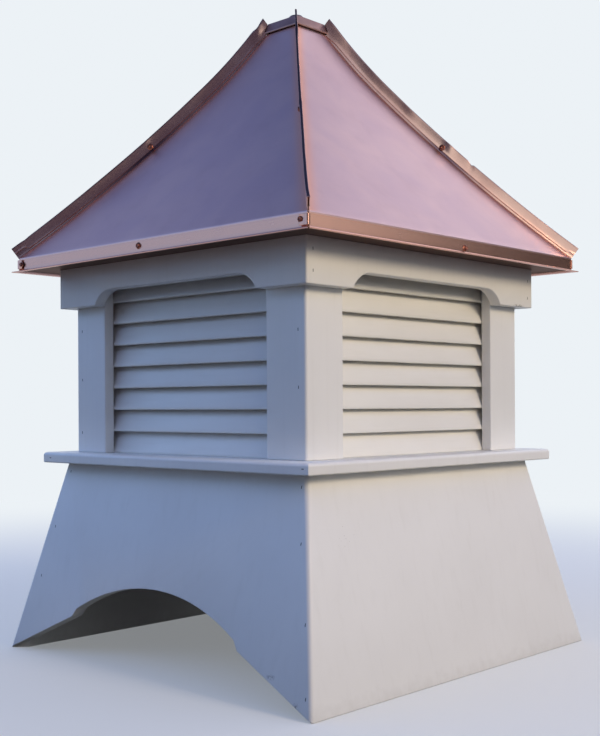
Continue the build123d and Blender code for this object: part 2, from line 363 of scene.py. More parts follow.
def makeBrad(name, look):
    material, tree = startMaterial(name)
    coords = addNode(tree, "ShaderNodeTexCoord").outputs["Object"]
    inputs = {"Vector": coords, "Scale": 1 / look["spotSize"], "Detail": 2}
    spots = addNode(tree, "ShaderNodeTexNoise", inputs).outputs["Fac"]
    inputs = {0: spots, 6: paint(look["dark"]), 7: paint(look["pale"])}
    tone = addNode(tree, "ShaderNodeMix", inputs, data_type="RGBA").outputs[2]
    inputs = {"Base Color": tone, "Metallic": look["metallic"], "Roughness": look["roughness"]}
    metal = addNode(tree, "ShaderNodeBsdfPrincipled", inputs)
    addNode(tree, "ShaderNodeOutputMaterial", {"Surface": metal.outputs[0]})
    return material


bradMetal = makeBrad("galvanised brad, weathered", bradLook)


print("boards: eased edges on merged copies of the CAD boards")


def finishPiece(piece, material, replaced=()):
    piece.data.materials.clear()
    piece.data.materials.append(material)
    if replaced:
        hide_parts(*replaced)
    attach(piece, "root")
    return piece


smoothAngle = 50  # degrees between two faces over which their edge shows


def meshPiece(name, points, faces):
    mesh = bpy.data.meshes.new(name)
    mesh.from_pydata(np.asarray(points, float).tolist(), [], [list(f) for f in faces])
    mesh.validate()
    mesh.update()
    piece = bpy.data.objects.new(name, mesh)
    bpy.context.scene.collection.objects.link(piece)
    mesh.polygons.foreach_set("use_smooth", [True] * len(mesh.polygons))
    mesh.set_sharp_from_angle(angle=math.radians(smoothAngle))
    return piece


# how far each kind of board has its edges eased, and the places where it stands
boards = {
    "base_panel": (1.6 * mm, sideTurns),
    "sill": (1.0 * mm, sideTurns),
    "corner_post": (1.6 * mm, cornerTurns),
    "header": (2.2 * mm, sideTurns),
    "rim": (0.8 * mm, sideTurns),
}
easing = {
    "merge": 0.01 * mm,
    "flatAngle": 0.5,  # degrees up to which faces are joined into one
    "sharpAngle": 25,  # degrees over which an edge is eased
    "segments": 3,
    "mitreReach": 0.3 * mm,  # how near the diagonal an edge lies to count as a mitre's
    "mitreShare": 0.12,  # mitre edges stay tight, so that two boards meet
    "slat": 0.9 * mm,
    "cap": 0.35 * mm,
    "plug": 0.6 * mm,
}


# merges a CAD node's loose triangles into flat faces and eases its sharp edges
def easedCopy(node, newName, radius):
    mesh = bpy.data.meshes.new(newName)
    work = bmesh.new()
    work.from_mesh(nodes[node].data)
    bmesh.ops.remove_doubles(work, verts=work.verts, dist=easing["merge"])
    flat = math.radians(easing["flatAngle"])
    bmesh.ops.dissolve_limit(work, angle_limit=flat, verts=work.verts, edges=work.edges)
    weights = work.edges.layers.float.new("bevel_weight_edge")
    sharpFrom = math.radians(easing["sharpAngle"])
    for edge in work.edges:
        sharp = len(edge.link_faces) == 2 and edge.calc_face_angle(0.0) > sharpFrom
        onMitre = all(abs(abs(v.co.x) - abs(v.co.y)) < easing["mitreReach"] for v in edge.verts)
        edge[weights] = 0.0 if not sharp else easing["mitreShare"] if onMitre else 1.0
    work.to_mesh(mesh)
    work.free()
    mesh.polygons.foreach_set("use_smooth", [True] * len(mesh.polygons))
    piece = bpy.data.objects.new(newName, mesh)
    bpy.context.scene.collection.objects.link(piece)
    bevel = piece.modifiers.new("eased edges", "BEVEL")
    bevel.limit_method = "WEIGHT"
    bevel.width = radius
    bevel.segments = easing["segments"]
    bevel.use_clamp_overlap = True
    bevel.harden_normals = True
    return piece


for kind, (radius, places) in boards.items():
    for place in places:
        board = easedCopy(f"{kind}_{place}", f"eased_{kind}_{place}", radius)
        finishPiece(board, pvcBoard, [f"{kind}_{place}"])

for place in sideTurns:
    slats = easedCopy(f"louvres_{place}", f"eased_louvres_{place}", easing["slat"])
    finishPiece(slats, pvcSlat, [f"louvres_{place}"])
    # the soffits take the sheet copper with painted shade
    nodes[f"soffit_{place}"].data.materials.clear()
    nodes[f"soffit_{place}"].data.materials.append(copperSoffitShade)


print("roof: curved sheets with fascia and drip edge")

roof = {
    "topHalf": 31.2 * mm,  # from the middle to the top of the curve
    "topLevel": 917.4 * mm,
    "eaveHalf": 294.5 * mm,
    "eaveLevel": 580 * mm,
    "slopes": (62, 54, 46),  # degrees at the top, where the two arcs meet, and at the eave
    "tuck": 8 * mm,  # the straight start under the cap
    "eaveBend": 3 * mm,
    "fasciaHeight": 20 * mm,
    "dripRadius": 4 * mm,
    "dripReach": 8 * mm,
    "sheet": 1 * mm,
    "mitreGap": 1.414 * mm,
    "curveSteps": 400,  # for lengths along the bell curve
    "rows": 64,  # along the bell curve, then by the bend, the fascia and the drip bend
    "bendRows": 5,
    "fasciaRows": 4,
    "dripRows": 6,
    "columns": 64,
    "closeColumns": (0.985, 0.9985),  # shares of the half width where the edge columns lie
    "canning": 0.25 * mm,  # how far the sheet waves
    "waves": 4,
    "wavesAcross": (0.8, 2.4),
    "wavesDown": (0.6, 2.2),
    "waveEnd": 1.12,  # the waves die out at one over this of the way down
    "paintedFoldReflectionReach": (9 * mm, 14 * mm),  # how wide the painted reflection beside the folds is, at the top and at the eave
    "paintedFoldReflectionShare": 0.95,
}


# The bell curve is two arcs that share a tangent. The sine rule gives each arc's chord from
# the whole chord and the slopes. Returns the arcs' radii and lengths, upper and lower.
def bellArcs():
    top, middle, eave = np.radians(roof["slopes"])
    across, down = roof["eaveHalf"] - roof["topHalf"], roof["topLevel"] - roof["eaveLevel"]
    chord, chordSlope = math.hypot(across, down), math.atan2(down, across)
    upper, lower = (top + middle) / 2, (middle + eave) / 2
    upperChord = chord * math.sin(chordSlope - lower) / math.sin(upper - lower)
    lowerChord = chord * math.sin(upper - chordSlope) / math.sin(upper - lower)
    upperRadius = upperChord / (2 * math.sin((top - middle) / 2))
    lowerRadius = lowerChord / (2 * math.sin((middle - eave) / 2))
    return upperRadius, lowerRadius, upperRadius * (top - middle), lowerRadius * (middle - eave)


# The bell curve in a side's section, by share of its length. The slope falls evenly with
# length along each arc, so a point is the radius times the change in the slope's sine and
# cosine from the arc's start. Returns radius, level and slope.
def bellCurve(share):
    top, middle, _ = np.radians(roof["slopes"])
    upperRadius, lowerRadius, upperArc, lowerArc = bellArcs()
    run = np.asarray(share, float) * (upperArc + lowerArc)
    inUpper = run <= upperArc
    slope = np.where(inUpper, top - run / upperRadius, middle - (run - upperArc) / lowerRadius)
    start = np.array([roof["topHalf"], roof["topLevel"]])
    joint = start + upperRadius * np.array([np.sin(top) - np.sin(middle), np.cos(top) - np.cos(middle)])
    baseSlope = np.where(inUpper, top, middle)
    radius = np.where(inUpper, upperRadius, lowerRadius)
    r = np.where(inUpper, start[0], joint[0]) + radius * (np.sin(baseSlope) - np.sin(slope))
    z = np.where(inUpper, start[1], joint[1]) + radius * (np.cos(baseSlope) - np.cos(slope))
    return r, z, slope


# The panel's outer line in section: tuck, bell curve, eave bend, fascia, drip bend, lip.
# Returns radius, level and slope, and 1 on the bell curve or 0 elsewhere.
def panelProfile():
    bendRun = roof["eaveBend"] * math.tan(math.radians(90 - roof["slopes"][2]) / 2)
    bellLength = sum(bellArcs()[2:])
    r, z, slope = bellCurve(np.linspace(0, 1 - bendRun / bellLength, roof["rows"]))
    tuckR = r[0] - roof["tuck"] * np.cos(slope[0])
    tuckZ = z[0] + roof["tuck"] * np.sin(slope[0])
    bend = np.linspace(slope[-1], math.pi / 2, roof["bendRows"] + 1)[1:]
    bendR = roof["eaveHalf"] + roof["eaveBend"] * (np.sin(bend) - 1)
    bendZ = z[-1] + roof["eaveBend"] * (np.cos(bend) - np.cos(slope[-1]))
    dripTop = roof["eaveLevel"] - roof["fasciaHeight"] + roof["dripRadius"]
    fasciaZ = np.linspace(bendZ[-1], dripTop, roof["fasciaRows"] + 1)[1:]
    fasciaR = np.full(roof["fasciaRows"], roof["eaveHalf"])
    drip = np.linspace(math.pi / 2, 0, roof["dripRows"] + 1)[1:]
    dripR = roof["eaveHalf"] + roof["dripRadius"] * (1 - np.sin(drip))
    dripZ = dripTop - roof["dripRadius"] * np.cos(drip)
    lipR = roof["eaveHalf"] + roof["dripReach"]
    r = np.concatenate([[tuckR], r, bendR, fasciaR, dripR, [lipR]])
    z = np.concatenate([[tuckZ], z, bendZ, fasciaZ, dripZ, [dripZ[-1]]])
    upright = np.full(roof["fasciaRows"], math.pi / 2)
    slopes = np.concatenate([[slope[0]], slope, bend, upright, drip, [0.0]])
    onBell = np.concatenate([[0], np.ones(len(slope)), np.zeros(len(r) - len(slope) - 1)])
    return r, z, slopes, onBell


# faces of a grid of rows by columns, whose last column joins the first if asked
def gridFaces(rows, columns, roundColumns=False):
    i = np.arange(rows - 1)
    j = np.arange(columns if roundColumns else columns - 1)
    i, j = np.meshgrid(i, j, indexing="ij")
    here, below = i * columns, (i + 1) * columns
    nextJ = (j + 1) % columns
    quads = np.stack([here + j, below + j, below + nextJ, here + nextJ], -1)
    return quads.reshape(-1, 4)


# turns points made for the front side round the middle to another side or corner
def turned(points, degrees):
    c, s = math.cos(math.radians(degrees)), math.sin(math.radians(degrees))
    return points @ np.array([[c, s, 0], [-s, c, 0], [0, 0, 1]])


tab = {
    "width": 12 * mm,
    "height": 13 * mm,
    "corner": 0.9 * mm,  # the bend's radius
    "cornerPoints": 7,
    "beforeCorner": 0.4 * mm,
    "start": 2.2 * mm,  # how far from the corner it starts on the side fascia
    "proud": 0.02 * mm,
    "curl": 0.6 * mm,  # how far the end waves along the fascia, and from where
    "curlFrom": 6 * mm,
    "crumple": 0.5 * mm,  # how far it lifts off the fascia, and from where
    "crumpleFrom": 4 * mm,
    "waviness": 7,  # radians up the height
    "rises": (0, 0.03, 0.15, 0.32, 0.5, 0.68, 0.85, 0.97, 1),
    "alongSteps": 8,
}


# A tab in plan: a short run along the side fascia, round the corner, and along the next
# fascia; carried up its height with a slight crumple. Point (along the path, up).
def tabSurface(end, phase):
    half, sheet, corner = roof["eaveHalf"], roof["sheet"], tab["corner"]
    arc = np.linspace(0, math.pi / 2, tab["cornerPoints"])
    along = np.linspace(half - corner, half - tab["width"], tab["alongSteps"] + 1)[1:]
    x = np.concatenate([[half + tab["proud"]] * 2, half - corner + corner * np.cos(arc), along])
    nearBend = half + sheet - corner - tab["beforeCorner"]
    bendY = half + sheet - corner + corner * np.sin(arc)
    y = np.concatenate([[half - tab["start"], nearBend], bendY, np.full(len(along), half + sheet)])
    up = np.array(tab["rises"])
    base = roof["eaveLevel"] - roof["fasciaHeight"] + roof["dripRadius"]
    wave = np.sin(up * tab["waviness"] + phase)[None, :] * np.linspace(0, 1, len(x))[:, None] ** 2
    curled = x[:, None] < half - tab["curlFrom"]
    lifted = x[:, None] < half - tab["crumpleFrom"]
    grid = np.zeros((len(x), len(up), 3))
    grid[..., 0] = x[:, None] - tab["curl"] * wave * curled
    grid[..., 1] = y[:, None] + tab["crumple"] * (0.5 + 0.5 * wave) * lifted
    grid[..., 2] = base + up[None, :] * tab["height"]
    # the side panels look along X: x is outward there, y runs to the end's corner
    points = grid.reshape(-1, 3) * np.array([1, end, 1])
    faces = gridFaces(len(x), len(up))
    return points, faces if end < 0 else faces[:, ::-1]


# The sheet: for each point of the section the half width is the radius less the mitre gap,
# and the bell part waves outward by a few slow sines that die out at the edges. The painted
# reflection beside the folds falls from the hip edges inward as a bell of the distance over its reach.
def panelSurface(seed):
    rng = np.random.default_rng(seed)
    profileR, profileZ, profileSlope, profileBell = panelProfile()
    r, z, slope, onBell = (line[:, None] for line in (profileR, profileZ, profileSlope, profileBell))
    inner, outer = roof["closeColumns"]
    u = np.concatenate([[-1, -outer], np.linspace(-inner, inner, roof["columns"]), [outer, 1]])[None, :]
    v = np.linspace(0, 1, len(profileR))[:, None]
    half = r - roof["mitreGap"]

    fade = (1 - u**2) ** 1.5 * np.sin(math.pi * np.clip(v * roof["waveEnd"], 0, 1)) * onBell
    wave = np.zeros_like(fade)
    for step in range(roof["waves"]):
        across = rng.uniform(*roof["wavesAcross"])
        down = rng.uniform(*roof["wavesDown"])
        shift = rng.uniform(0, 6.28)
        wave += np.sin(math.pi * across * u + shift) * np.sin(math.pi * down * v + shift * 1.7)
    lift = roof["canning"] * fade * (0.5 + 0.25 * wave)

    grid = np.zeros((v.size, u.size, 3))
    grid[..., 0] = half * u
    grid[..., 1] = -(r + lift * np.sin(slope))
    grid[..., 2] = z + lift * np.cos(slope)
    reach = np.interp(profileR, [roof["topHalf"], roof["eaveHalf"]], roof["paintedFoldReflectionReach"])[:, None]
    inward = half * (1 - np.abs(u)) / reach
    paintedFoldReflectionShare = roof["paintedFoldReflectionShare"] * np.exp(-(inward**2)) * onBell
    return grid.reshape(-1, 3), gridFaces(v.size, u.size), paintedFoldReflectionShare.ravel()


for seed, (place, turn) in enumerate(sideTurns.items()):
    points, faces, paintedFoldReflectionShare = panelSurface(seed + 3)
    points = turned(points, turn)
    if place in ("right", "left"):
        for end in (-1, 1):
            tabPoints, tabFaces = tabSurface(end, seed * 1.3 + end)
            tabPoints = turned(tabPoints, turn - 90)
            faces = np.vstack([faces, tabFaces + len(points)])
            points = np.vstack([points, tabPoints])
            paintedFoldReflectionShare = np.concatenate([paintedFoldReflectionShare, np.zeros(len(tabPoints))])
    panel = meshPiece(f"copper_panel_{place}", points, faces)
    # the painted reflection of the folds, by point
    paintedFoldReflection = panel.data.attributes.new("paintedFoldReflection", "FLOAT", "POINT")
    paintedFoldReflection.data.foreach_set("value", paintedFoldReflectionShare)
    wall = panel.modifiers.new("sheet thickness", "SOLIDIFY")
    wall.thickness = roof["sheet"]
    wall.offset = -1
    wall.use_even_offset = True
    finishPiece(panel, copperSheet, [f"roof_panel_{place}"])


print("hip seams: folded fins carried along the hips")

seam = {
    "lift": 15.3 * mm,  # square to the section curve
    "core": 1.0 * mm,  # half thickness under the hem
    "root": 1.4 * mm,  # half thickness where the sheets turn up
    "drawnHeight": 18.7 * mm,  # of the section, before the lift scales it
    "hem": (1.5 * mm, 2.0 * mm),  # half thickness of the hem at the top and at the eave
    "flare": 0.25 * mm,  # how far the hem's lower edge kicks out
    "hemFoot": 3.0 * mm,
    "boxy": 0.35,  # power that squares the crown
    "startHalf": 35.0 * mm,
    # the upper end by share of its height: under the cap, out round its hem, in along its
    # flared side, and out to the tip
    "capShares": (0, 0.2, 0.3, 0.7, 1),
    "capLeans": (3.4 * mm, 3.4 * mm, 0.7 * mm, 5.2 * mm, 0.6 * mm),
    "capFade": 45,  # the lean fades in one part in this of the length
    "tip": 36.0 * mm,  # radius where the lifted line starts
    "foot": 301.9 * mm,  # and where it ends
    "overrun": 30 * mm,  # how far the lifted line goes on above the curve's top
    "overrunSteps": 20,
    "wave": 0.9 * mm,
    "waveCounts": (1, 2.3, 5.1, 9),
    "waveEnds": (12, 0.25),  # one part in this at each end waves less, down to this share
    "leanPower": 1.4,
    "mouth": (0.6, 0.88),  # the open end's share of the fold's thickness and height
    "mouthDepth": 5,  # stations that the open end runs back
    "stations": 130,
    # radius in mm where a pinch is, its bulge and half length in mm, its dip as a share
    "pinches": {
        "front_right": [(36, 0.0, 5, 0.1), (60, 0.5, 6, 0.0), (160, 0.5, 5, 0.02)],
        "back_right": [(161, 1.1, 4, 0.0), (183, -0.4, 1.6, 0.14), (120, 0.4, 7, 0.02)],
        "back_left": [(158, 0.8, 4, 0.02), (90, 0.4, 6, 0.0)],
        "front_left": [(158, 0.7, 4, 0.02), (41, 1.4, 3, 0.12), (281, 0.5, 3, 0.05)],
    },
    "dipFrom": 0.6,  # share of the height from which a pinch dips
    # where the hem's lower edge is cut back, in mm, and how far up as a share
    "cutBack": {
        "front_right": (289, 0.1),
        "back_right": (288, 0.15),
        "back_left": (287, 0.12),
        "front_left": (282, 0.3),
    },
    "cutBlend": 2 * mm,
    "hemEdge": (0.1, 0.3),  # shares of the height between which that edge lies
    # how far the fold bows sideways, in mm, by share of its length
    "bows": {
        "front_right": ((0, 0.5, 0.8, 0.96, 1), (-1.8, -2.0, -2.2, -1.0, 0.0)),
        "back_right": ((0, 0.4, 1), (0.0, 0.8, 0.0)),
        "back_left": ((0, 0.6, 1), (0.0, -0.8, 0.0)),
        "front_left": ((0, 0.5, 1), (0.0, 0.6, 0.0)),
    },
    # painted shade, a dark line on the crown: where it starts, how fast it comes in, and its strength
    "crownShade": (0.88, 0.06, 0.8),
    # painted shade, a dark line in the undercut: darkest place and reach, its most and least
    "undercutShade": (160 * mm, 30 * mm, 0.95, 0.2),
    "undercutTop": 0.2,
}


# Fin cross-section, closed, as (sideways, share of the height): the core, the hem's
# flared lower edge, its flat sides, and a crown that is nearly flat.
def finSection():
    height, foot, hem = seam["drawnHeight"], seam["hemFoot"], seam["hem"][1]
    side = [
        (seam["root"], -1.0 * mm),
        (seam["root"], 0.4 * mm),
        (seam["core"], foot * 0.5),
        (seam["core"], foot + 0.5 * mm),
        (hem + seam["flare"], foot),
        (hem + seam["flare"] * 0.8, foot + 0.5 * mm),
        (hem * 0.96, foot + 1.9 * mm),
        (hem * 0.9, height * 0.42),
        (hem * 0.9, height * 0.56),
        (hem * 0.92, height * 0.7),
        (hem * 0.97, height - 3.2 * mm),
    ]
    crown = np.linspace(0, math.pi, 11)
    boxed = np.sign(np.cos(crown)) * np.abs(np.cos(crown)) ** seam["boxy"]
    top = list(zip(hem * boxed, height - hem + hem * np.sin(crown) ** seam["boxy"]))
    other = [(-x, y) for x, y in reversed(side)]
    points = np.array(side + top + other)
    return points[:, 0], points[:, 1] / height


# length along a line over the hip, where a step out is longer by the square root of two
def hipRun(r, z):
    return np.concatenate([[0], np.cumsum(np.hypot(np.diff(r) * math.sqrt(2), np.diff(z)))])


# The two lines that carry the section, each at even steps of its own length: the hip line,
# and the line lifted square off it, which goes on straight above the curve's top.
def finLines(t):
    r, z, slope = bellCurve(np.linspace(0, 1, roof["curveSteps"]))
    run = hipRun(r, z)
    start = np.interp(seam["startHalf"], r, run)
    there = start + (run[-1] - start) * t
    base = np.interp(there, run, r), np.interp(there, run, z)

    above = np.linspace(seam["overrun"], 0.5 * mm, seam["overrunSteps"])
    liftedR = r + seam["lift"] * np.sin(slope)
    liftedZ = z + seam["lift"] * np.cos(slope)
    liftedR = np.concatenate([liftedR[0] - above * np.cos(slope[0]), liftedR])
    liftedZ = np.concatenate([liftedZ[0] + above * np.sin(slope[0]), liftedZ])
    run = hipRun(liftedR, liftedZ)
    first, last = np.interp([seam["tip"], seam["foot"]], liftedR, run)
    there = first + (last - first) * t
    return base, (np.interp(there, run, liftedR), np.interp(there, run, liftedZ))


# How dark each point of the fin is painted, as painted shade: a line on the crown, and one in
# the undercut that is darkest beside the screw and falls off as a bell of the distance.
def finPaintedShade(baseR, sideways, share, rows):
    start, blend, strength = seam["crownShade"]
    dark = np.tile(np.clip((share - start) / blend, 0, 1) * strength, (rows, 1))
    darkest, reach, most, least = seam["undercutShade"]
    gap = least + (most - least) * np.exp(-(((baseR - darkest) / reach) ** 2))
    undercut = (share < seam["undercutTop"]) & (np.abs(sideways) < seam["root"] * 1.01)
    dark[: len(baseR)] += gap[:, None] * undercut[None, :]
    return dark


# Point (station, section): from the hip line up to the lifted line, moved sideways by the
# section, by slow waves that grow with height, and by pinches beside the screws.
def finSurface(seed, place):
    rng = np.random.default_rng(seed)
    t = np.linspace(0, 1, seam["stations"])
    (baseR, baseZ), (topR, topZ) = finLines(t)
    sideways, share = finSection()
    upShare = np.clip(share, 0, 1)[None, :]

    waves = 0
    for count in seam["waveCounts"]:
        size, pace, shift = rng.uniform(0.4, 1), rng.uniform(0.7, 1.3), rng.uniform(0, 6.28)
        waves = waves + size * np.sin(2 * math.pi * pace * count * t + shift) / count
    parts, least = seam["waveEnds"]
    ends = np.clip(np.minimum(t, 1 - t) * parts, least, 1)
    lean = seam["wave"] * waves * ends + np.interp(t, *seam["bows"][place]) * mm

    reach = np.ones((len(t), len(share)))
    push = np.zeros((len(t), len(share)))
    for middle, amount, size, dip in seam["pinches"][place]:
        bump = np.exp(-(((baseR - middle * mm) / (size * mm)) ** 2))[:, None]
        push += amount * mm * bump * np.sign(sideways)[None, :] * upShare
        reach -= dip * bump * (share[None, :] > seam["dipFrom"])
    # the hem's lower edge is cut back near the eave
    cutPlace, cutRise = seam["cutBack"][place]
    low, high = seam["hemEdge"]
    cut = np.clip((baseR - cutPlace * mm) / seam["cutBlend"], 0, 1)[:, None] * cutRise
    height = share[None, :] * reach + cut * ((share > low) & (share < high))[None, :]

    thin = np.interp(t, [0, 1], [seam["hem"][0] / seam["hem"][1], 1])[:, None]
    capLean = np.interp(share, seam["capShares"], seam["capLeans"])[None, :]
    capLean = capLean * np.exp(-((t * seam["capFade"]) ** 2))[:, None]
    radius = baseR[:, None] + (topR - baseR)[:, None] * height - capLean
    level = baseZ[:, None] + (topZ - baseZ)[:, None] * height
    off = sideways[None, :] * thin + push + lean[:, None] * upShare ** seam["leanPower"]
    grid = np.stack([off, -radius * math.sqrt(2), level], -1)

    # the fold is open at its lower end: the last loop shrinks to the gap between the
    # sheets and runs back inside
    mouth = grid[-1].copy()
    middle = grid[-1, :, 1:].mean(0)
    mouth[:, 0] *= seam["mouth"][0]
    mouth[:, 1:] = middle + (mouth[:, 1:] - middle) * seam["mouth"][1]
    inside = mouth + (grid[-1 - seam["mouthDepth"]] - grid[-1]).mean(0)
    grid = np.concatenate([grid, mouth[None], inside[None]])
    rows, columns = grid.shape[:2]
    faces = gridFaces(rows, columns, roundColumns=True)[:, ::-1].tolist()
    faces.append(list(range(columns)))
    faces.append([(rows - 1) * columns + k for k in reversed(range(columns))])
    paintedShade = finPaintedShade(baseR, sideways, share, rows)
    return grid.reshape(-1, 3), faces, paintedShade.ravel()


for seed, (place, turn) in enumerate(cornerTurns.items()):
    points, faces, paintedShade = finSurface(seed + 11, place)
    fin = meshPiece(f"folded_seam_{place}", turned(points, turn), faces)
    # painted shade on the crown and in the undercut
    crown = fin.data.attributes.new("crown", "FLOAT", "POINT")
    crown.data.foreach_set("value", paintedShade)
    finishPiece(fin, copperSeam, [f"hip_seam_{place}"])


print("cap and plug")
capPiece = easedCopy("roof_cap", "folded_cap", easing["cap"])
finishPiece(capPiece, copperCap, ["roof_cap"])
plugPiece = easedCopy("cap_plug", "turned_plug", easing["plug"])
finishPiece(plugPiece, copperCap, ["cap_plug"])


print("fixings: screws and brads")

screws = {
    # radius and height in mm, from the crown's middle to under the washer
    "radii": (0.0, 1.1, 1.5, 2.5, 3.0, 3.15, 3.2, 3.5, 4.3, 4.6, 4.5, 0.0),
    "heights": (2.3, 2.3, 2.75, 2.85, 2.6, 2.1, 0.95, 0.75, 0.6, 0.3, 0.0, 0.0),
    "hexRings": (3, 4, 5, 6),
    "hexScale": 1.06,  # corners to radius
    "around": 30,
    # in mm: along the side from its middle, level, and distance out; a screw at a corner
    # stands on the tab that is folded round there
    "fascia": {
        (0, 180): [(-284.2, 570.0, 295.9), (-11.0, 570.7, 294.5), (284.0, 571.3, 295.9)],
        (90, 270): [(13.9, 567.5, 294.5)],
    },
    "spinStep": 0.4,  # radians from one head's corners to the next one's
    "hipHalf": 155.3 * mm,  # where the seam's screw is along the curve
    "hipShare": 0.36,  # its share of the fin's lift
    "hipProud": 0.2 * mm,
}


# A hex screw head on a washer: a profile turned round, with each head ring's radius drawn
# in between the six corners. Point (ring, angle).
def screwSurface(centre, outward, upward, spin):
    profile = np.stack([screws["radii"], screws["heights"]], -1) * mm
    n = screws["around"]
    angle = np.linspace(0, 2 * math.pi, n, endpoint=False)
    hexagon = math.cos(math.pi / 6) / np.cos((angle + spin) % (math.pi / 3) - math.pi / 6)
    radius = np.repeat(profile[1:-1, :1], n, axis=1)
    for ring in screws["hexRings"]:
        radius[ring - 1] *= hexagon * screws["hexScale"]
    x, y = radius * np.cos(angle), radius * np.sin(angle)
    z = np.repeat(profile[1:-1, 1:], n, axis=1)
    local = np.concatenate([np.stack([x, y, z], -1).reshape(-1, 3), [[0, 0, profile[0, 1]], [0, 0, 0]]])
    outward, upward = np.array(outward, float), np.array(upward, float)
    points = np.array(centre) + local @ np.array([np.cross(upward, outward), upward, outward])
    rings = len(profile) - 2
    faces = gridFaces(rings, n, roundColumns=True).tolist()
    first, last = rings * n, rings * n + 1
    faces += [[first, k, (k + 1) % n] for k in range(n)]
    faces += [[last, (rings - 1) * n + (k + 1) % n, (rings - 1) * n + k] for k in range(n)]
    return points, faces


# the points and faces of several parts as one
def joined(parts):
    allPoints, allFaces, count = [], [], 0
    for points, faces in parts:
        allPoints.append(points)
        allFaces += [[index + count for index in face] for face in faces]
        count += len(points)
    return np.vstack(allPoints), allFaces


fasciaScrews, seamScrews = [], []
for turns, places in screws["fascia"].items():
    for turn in turns:
        for k, (along, level, out) in enumerate(places):
            centre = np.array([along, -out, level]) * mm
            spin = screws["spinStep"] * k + turn
            points, faces = screwSurface(centre, (0, -1, 0), (0, 0, 1), spin)
            fasciaScrews.append((turned(points, turn), faces))
r, z, slope = bellCurve(np.linspace(0, 1, roof["curveSteps"]))
hipLevel, hipSlope = np.interp(screws["hipHalf"], r, z), np.interp(screws["hipHalf"], r, slope)
hipLevel += screws["hipShare"] * seam["lift"] / math.cos(hipSlope)
for place, turn in cornerTurns.items():
    facing = -1 if place in ("back_right", "front_right") else 1
    off = facing * (seam["hem"][1] + screws["hipProud"])
    centre = (off, -screws["hipHalf"] * math.sqrt(2), hipLevel)
    points, faces = screwSurface(centre, (facing, 0, 0), (0, 0, 1), turn)
    seamScrews.append((turned(points, turn), faces))
finishPiece(meshPiece("fascia_screws", *joined(fasciaScrews)), screwMetal)
finishPiece(meshPiece("seam_screws", *joined(seamScrews)), screwMetal)

brads = {
    "long": 4.2 * mm,
    "wide": 1.1 * mm,
    "proud": 0.12 * mm,
    "around": 12,
    "rings": ((1.0, -0.3), (1.0, 0.6), (0.8, 1.0)),  # shares of the size and of the height
    # for the posts, sills and base, and then for the headers, in mm: where the board's face is
    # at its foot, how far it leans in over what height, whether its brads lie level, and their
    # places along the side from its middle and by level
    "boards": {
        (0, 180): [
            (233.6, (0, 1), False, [(220.3, 451.5), (220.6, 380.7)]),
            (233.6, (0, 1), False, [(-220.5, 470), (-220, 398), (-221, 320)]),
            (269.2, (0, 1), True, [(260, 283.7), (-251.8, 282.8)]),
            (305, (61.2, 275.5), False, [(237.8, 260.3), (250, 194.2), (274.8, 104.4), (291.2, 24.6)]),
            (305, (61.2, 275.5), False, [(-232, 262.5), (-246.4, 181.2), (-259.5, 109)]),
        ],
        (90, 270): [
            (251.6, (0, 1), False, [(-240, 546.6), (-240, 520.3), (238.6, 544), (238.5, 518.5)]),
        ],
    },
}


# A brad's head: a narrow rounded plate. Point (ring, angle) on a superellipse.
def bradSurface(centre, outward, upward):
    around = brads["around"]
    angle = np.linspace(0, 2 * math.pi, around, endpoint=False)
    squared = (np.abs(np.cos(angle)) ** 4 + np.abs(np.sin(angle)) ** 4) ** -0.25
    rings = []
    for size, lift in brads["rings"]:
        x = brads["wide"] / 2 * size * np.cos(angle) * squared
        y = brads["long"] / 2 * size * np.sin(angle) * squared
        rings.append(np.stack([x, y, np.full(around, lift * brads["proud"])], -1))
    local = np.concatenate(rings)
    outward, upward = np.array(outward, float), np.array(upward, float)
    points = np.array(centre) + local @ np.array([np.cross(upward, outward), upward, outward])
    faces = gridFaces(len(rings), around, roundColumns=True)[:, ::-1].tolist()
    back, front = list(range(around))[::-1], list(range(len(local) - around, len(local)))
    return points, faces + [back, front]


bradParts = []
for turns, rows in brads["boards"].items():
    for turn in turns:
        for face, leanIn, lying, places in rows:
            lean = math.atan2(*leanIn)
            outward = (0, -math.cos(lean), math.sin(lean))
            upward = (1, 0, 0) if lying else (0, math.sin(lean), math.cos(lean))
            for along, level in places:
                centre = np.array([along, level * math.tan(lean) - face, level]) * mm
                points, faces = bradSurface(centre, outward, upward)
                bradParts.append((turned(points, turn), faces))
finishPiece(meshPiece("brad_heads", *joined(bradParts)), bradMetal)


print("stage: floor, world, lamps and camera")

